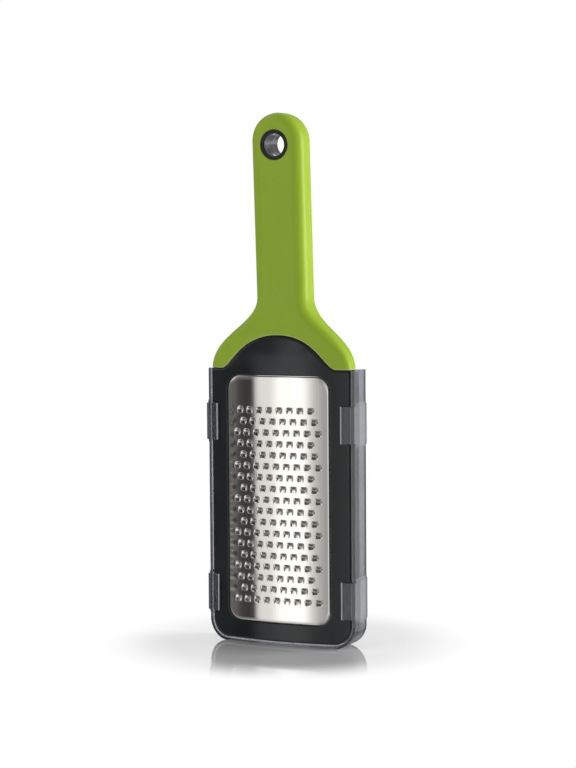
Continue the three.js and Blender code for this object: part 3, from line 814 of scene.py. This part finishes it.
# The tray as an outer and an inner sheet of (along the U outline, front to back and in to the middle line), joined by
# rims. The hooks grow out of the front rim, and the pads and bumps are offsets of the sheets.
def makeContainer(shape):
    half, corner, wall, height = shape["outerHalf"], shape["corner"], shape["wall"], shape["height"]
    steps, deep = shape["steps"], shape["steps"]["depth"]
    bumpZ, bumpY = shape["bump"]
    levels = [np.linspace(corner, height, steps["side"])]
    for middle in shape["hooks"]:
        for reach in (shape["hookHeight"] / 2, shape["padHeight"] / 2, shape["padHeight"] / 2 - shape["padSlope"]):
            levels.append([middle - reach, middle + reach])
    levels.append(np.linspace(bumpZ - shape["bumpRun"], bumpZ + shape["bumpRun"], steps["bump"]))
    levels = np.unique(np.round(np.concatenate(levels), 4))

    def outlineOf(inset):
        start = line((0, inset), (half - corner, inset), steps["bottom"])
        turned = arc((half - corner, corner), corner - inset, -90, 0, steps["corner"])
        return joined(start, turned, np.stack([np.full(len(levels), half - inset), levels], axis=-1))

    angle = np.radians(np.concatenate([np.full(steps["bottom"] - 1, -90.0), np.linspace(-90, 0, steps["corner"]),
                                       np.zeros(len(levels) - 1)]))
    normal = np.stack([np.cos(angle), np.sin(angle)], axis=-1)
    outer, inner = outlineOf(0.0), outlineOf(wall)
    z = outer[:, 1]
    upright = np.arange(len(outer)) >= len(outer) - len(levels)
    pad = np.zeros(len(outer))
    for middle in shape["hooks"]:
        rise = np.clip((shape["padHeight"] / 2 - np.abs(z - middle)) / shape["padSlope"], 0, 1)
        pad = np.maximum(pad, np.where(upright, rise * shape["padProud"], 0))
    outer = outer + normal * pad[:, None]
    middleLine = np.stack([np.zeros(len(outer)), np.maximum(z, shape["middleStart"] + z / 2)], axis=-1)
    middleLine[-1, 1] = height

    def sheet(path, back, radius):
        turn = np.radians(np.linspace(0, 90, steps["edge"]))
        straight = blendOf(domeAt(path[:, :1]), back - radius, np.linspace(0, 1, deep))
        sideFlat = np.repeat(path[:, None], deep, axis=1)
        rounded = spanned(path, path - normal * radius, 1 - np.cos(turn))
        roundedY = np.repeat((back - radius + radius * np.sin(turn))[None], len(path), axis=0)
        floor = spanned(rounded[:, -1], middleLine, np.linspace(0, 1, steps["floor"])[1:])
        flat = np.concatenate([sideFlat, rounded[:, 1:], floor], axis=1)
        y = np.concatenate([straight, roundedY[:, 1:], np.full(floor.shape[:2], back)], axis=1)
        return withDepth(flat, y)

    outside = sheet(outer, shape["back"], shape["backEdge"])
    inside = sheet(inner, shape["back"] - wall, shape["innerEdge"])
    longHalf, shortHalf = shape["bumpHalf"]
    reach = 1 - ((inside[:, :deep, 2] - bumpZ) / longHalf) ** 2 - ((inside[:, :deep, 1] - bumpY) / shortHalf) ** 2
    inside[:, :deep, 0] -= shape["bumpProud"] * np.sqrt(np.clip(reach, 0, 1))
    grids = [outside, inside, np.stack([outside[-1], inside[-1]])]

    def frontRim(start, end):
        outEdge, inEdge = outside[start:end, 0], inside[start:end, 0]
        return np.stack([outEdge, blendOf(inEdge, outEdge, shape["edgeLine"] / wall), inEdge], axis=1)

    def rowAt(level):
        return int(np.argmin(np.where(upright, np.abs(z - level), np.inf)))

    last, tip = 0, shape["hookTip"]
    for middle in shape["hooks"]:
        first, end = (rowAt(middle + sense * shape["hookHeight"] / 2) for sense in (-1, 1))
        grids.append(frontRim(last, first + 1))
        last = end
        rowsHere = slice(first, end + 1)
        runs = np.append(np.linspace(0, 1, steps["hook"]), 1)

        def arm(side, out):
            x = blendOf(side[first + 2, 0, 0], tip + shape["edgeLine"], runs)  # from past the pad's slope
            x[-1] = tip
            run = np.stack(np.broadcast_arrays(x, domeAt(x) - out, z[rowsHere, None]), axis=-1)
            return np.concatenate([side[rowsHere, :1], run], axis=1)

        outArm, inArm = arm(outside, shape["hookGap"] + shape["hookThick"]), arm(inside, shape["hookGap"])
        grids += [outArm, inArm, np.stack([outArm[:, -1], inArm[:, -1]], axis=1),
                  np.stack([outArm[0], inArm[0]]), np.stack([outArm[-1], inArm[-1]])]
    grids.append(frontRim(last, len(outer)))
    piece = putGrids("container_tray", bothSides(grids), smokyPlastic)

    middles, facing = valuesOf(piece.data.polygons, "center") / mm, valuesOf(piece.data.polygons, "normal")
    middles[:, 0] = np.abs(middles[:, 0])
    x, y, level = middles.T
    sideways, least = np.abs(facing[:, 0]), shape["facing"]
    toSide, toFront = sideways > least["side"], -facing[:, 1] > least["front"]
    fromHook = np.abs(level[:, None] - np.array(shape["hooks"])).min(axis=1) - shape["hookHeight"] / 2
    onTip = (x < tip + shape["edgeLine"]) & (x > tip - shape["near"]) & (y < domeAt(tip))
    onRim = toFront & (distanceTo(middles[:, ::2], inner) < shape["edgeLine"] * shape["edgeShare"])
    onPad = toSide & (x > half + shape["padProud"] * shape["padShare"])
    darkIn, darkForward = shape["darkEdge"]
    faces = {
        "tip": onTip & (fromHook < 0),
        "rim": onRim & (fromHook > 0),
        "pad": onPad,
        # Painted shade on the rounded edge of the back and on the front faces low at the bottom, where the clear edges
        # look dark
        "back": (sideways > least["turned"]) & (x > half - darkIn) & (y > shape["back"] - darkForward) & ~onPad,
        "foot": toFront & ~onRim & (level < shape["footTop"]),
        "front": toFront & (x > half - wall),
        "side": toSide & (x > half - shape["near"]),
    }
    mark(piece, "edge", "FACE", np.select(list(faces.values()), [shape["marks"][kind] for kind in faces]))
    soft = piece.modifiers.new("edges", "BEVEL")
    soft.width = shape["softEdge"] * mm
    soft.segments = 2
    soft.limit_method = "ANGLE"
    soft.angle_limit = math.radians(shape["softAngle"])
    fit(piece, "container", "smoky_plastic", "container")


makeContainer(containerShape)
print("container made")

studioLight = {
    "around": 0.385,  # what diffuse surfaces get from all round
    "brightest": 6.5,
    # cards round the object, tier over tier: brightness behind it, then degrees from the front and brightness there
    "tiers": {
        "ground": (0.12, [
            (-150, 0.2), (-120, 0.6), (-60, 0.6), (-46, 0.3), (-30, 0.8), (-16, 0.8), (-5, 0.4), (40, 0.5), (100, 1.2),
            (135, 1.0), (150, 0.2)]),
        "floor": (0.5, [
            (-168, 0.5), (-150, 0.25), (-106, 0.18), (-60, 0.17), (-48, 0.18), (-44.8, 0.15), (-43.2, 0.075),
            (-37.8, 0.05), (-36.2, 0.09), (-35.2, 0.8), (-34.2, 1.02), (-28.8, 1.08), (-24.8, 1.55), (-16, 1.6),
            (-13.5, 1.4), (-11, 0.85), (-8, 0.62), (-5, 0.43), (-1, 0.8), (5, 0.96), (12, 1.36), (26, 1.28), (33, 0.5),
            (38, 0.13), (100, 0.13), (121, 5.0), (132, 6.5), (140, 0.4), (165, 0.3)]),
        "wall": (0.3, [
            (-168, 0.9), (-150, 1.0), (-125, 0.6), (-106, 0.2), (-68, 0.3), (-62, 1.0), (-50, 1.0), (-46, 0.3),
            (-43.5, 0.22), (-37.4, 0.16), (-35.9, 0.2), (-34.9, 0.8), (-33.9, 1.02), (-28, 1.08), (-24, 1.55),
            (-16, 1.6), (-11, 0.85), (-5, 0.43), (5, 0.5), (26, 0.7), (38, 0.15), (100, 0.15), (121, 4.2), (132, 5.5),
            (140, 0.2), (170, 0.12)]),
        "shelf": (0.15, [
            (-150, 0.4), (-110, 0.3), (-80, 0.2), (-73, 0.9), (-58, 0.9), (-51, 0.15), (-46, 0.03), (-36, 0.025),
            (-31, 0.15), (-27, 0.4), (-24, 1.45), (-19, 1.4), (-16, 0.3), (-12, 0.08), (-5, 0.08), (5, 0.5), (40, 0.7),
            (56, 0.5), (82, 0.4), (100, 1.0), (130, 0.8), (150, 0.15)]),
        "eave": (0.15, [
            (-150, 0.4), (-110, 0.2), (-84, 0.2), (-77, 1.1), (-54, 1.1), (-48, 0.3), (-36, 0.3), (-30, 0.4),
            (-5, 0.3), (40, 0.4), (82, 0.4), (100, 1.0), (130, 0.8), (150, 0.15)]),
        "ceiling": (0.5, [
            (-110, 1.25), (-75, 1.3), (-70, 0.14), (-8, 0.1), (40, 0.4), (66, 0.32), (80, 0.32), (110, 0.6)]),
        "top": (0.14, [(-70, 0.28), (60, 0.28)]),
    },
    # heights of a unit direction between which one tier turns into the next
    "tierSteps": [(-0.3, -0.2), (-0.02, 0.02), (0.19, 0.23), (0.39, 0.42), (0.68, 0.71), (0.815, 0.84)],
    # name, degrees round and up, metres away, width and height, watts
    "lamps": [("right", 115, 14, 1.3, (0.7, 1.0), 22.0), ("front", -30, 35, 1.6, (1.1, 1.1), 8.8)],
    "aim": (0, 0, 0.14),
}


# A white room: pure white to the camera and through clear plastic, an even grey for diffuse light, and for
# reflections tiers of cards round the object, from the ground to the top
def makeStudio(light):
    scene.world = bpy.data.worlds.new("white_room")
    tree = emptyTree(scene.world)
    direction = addNode(tree, "TexCoord").outputs["Generated"]
    parts = addNode(tree, "SeparateXYZ", {}, {0: direction})
    forward = addNode(tree, "Math", {"operation": "MULTIPLY", 1: -1.0}, {0: parts.outputs["Y"]})
    turn = addNode(tree, "Math", {"operation": "ARCTAN2"}, {0: parts.outputs["X"], 1: forward.outputs[0]})
    share = addNode(tree, "MapRange", {"From Min": -math.pi, "From Max": math.pi}, {"Value": turn.outputs[0]})
    tiers = []
    for behind, cards in light["tiers"].values():
        tier = addNode(tree, "ValToRGB", {}, {"Fac": share.outputs[0]})
        steps = tier.color_ramp.elements
        for degrees, value in cards:
            steps.new(0.5 + degrees / 360).color = (value / light["brightest"],) * 3 + (1,)
        for end in (0, len(steps) - 1):
            steps[end].color = (behind / light["brightest"],) * 3 + (1,)
        tiers.append(tier.outputs[0])
    stacked = tiers[0]
    for upper, (start, end) in zip(tiers[1:], light["tierSteps"]):
        raised = addNode(tree, "MapRange",
                         {"interpolation_type": "SMOOTHSTEP", "From Min": start, "From Max": end},
                         {"Value": parts.outputs["Z"]})
        stacked = addMix(tree, raised.outputs[0], stacked, upper)
    bright = addNode(tree, "VectorMath", {"operation": "SCALE", "Scale": light["brightest"]}, {0: stacked})
    path = addNode(tree, "LightPath")
    around = addMix(tree, path.outputs["Is Glossy Ray"], (light["around"],) * 3 + (1,), bright.outputs[0])
    shown = addMix(tree, addSeen(tree, path), around, (1, 1, 1, 1))
    sky = addNode(tree, "Background", {}, {"Color": shown})
    addNode(tree, "OutputWorld", {}, {"Surface": sky.outputs[0]})
    for name, turned, lifted, away, size, power in light["lamps"]:
        data = bpy.data.lights.new("softbox_" + name, "AREA")
        data.shape = "RECTANGLE"
        data.size, data.size_y = size
        data.energy = power
        lamp = bpy.data.objects.new("softbox_" + name, data)
        offset = towards(turned, lifted)
        lamp.location = Vector(light["aim"]) + offset * away
        lamp.rotation_euler = offset.to_track_quat("Z", "Y").to_euler()
        lamp.visible_camera = lamp.visible_glossy = lamp.visible_transmission = False
        scene.collection.objects.link(lamp)


makeStudio(studioLight)

floorLook = {"base": "#f4f4f4", "roughness": 0.09, "refraction": 2.4, "coat": 2.2, "near": 62.0, "far": 110.0,
             "halfSize": 3000.0, "points": 5}


# A glossy white sweep: it shows the object's shadow and reflection close by and fades to pure white further out
def makeFloor(look):
    material, tree, place = newMaterial("white_sweep_glossy")
    away = addNode(tree, "VectorMath", {"operation": "LENGTH"}, {0: place})
    fade = addNode(tree, "MapRange",
                   {"interpolation_type": "SMOOTHSTEP", "From Min": look["near"] * mm, "From Max": look["far"] * mm},
                   {"Value": away.outputs["Value"]})
    path = addNode(tree, "LightPath")
    factor = addNode(tree, "Math", {"operation": "MULTIPLY"}, {0: addSeen(tree, path), 1: fade.outputs[0]})
    gloss = addNode(tree, "BsdfPrincipled",
                    {"Base Color": linear(look["base"]), "Roughness": look["roughness"], "IOR": look["refraction"],
                     "Coat Weight": 1.0, "Coat IOR": look["coat"], "Coat Roughness": look["roughness"]})
    white = addNode(tree, "Emission", {"Color": (1, 1, 1, 1), "Strength": 1.0})
    surface = addNode(tree, "MixShader", {}, {0: factor.outputs[0], 1: gloss.outputs[0], 2: white.outputs[0]})
    clear = addNode(tree, "BsdfTransparent")
    whole = addNode(tree, "MixShader", {},
                    {0: path.outputs["Is Glossy Ray"], 1: surface.outputs[0], 2: clear.outputs[0]})
    addNode(tree, "OutputMaterial", {}, {"Surface": whole.outputs[0]})
    spot = np.linspace(-look["halfSize"], look["halfSize"], look["points"])
    x, y = np.meshgrid(spot, spot)
    putGrids("floor", [np.stack([x, y, np.zeros_like(x)], axis=-1)], material, False)


makeFloor(floorLook)
print("studio made")
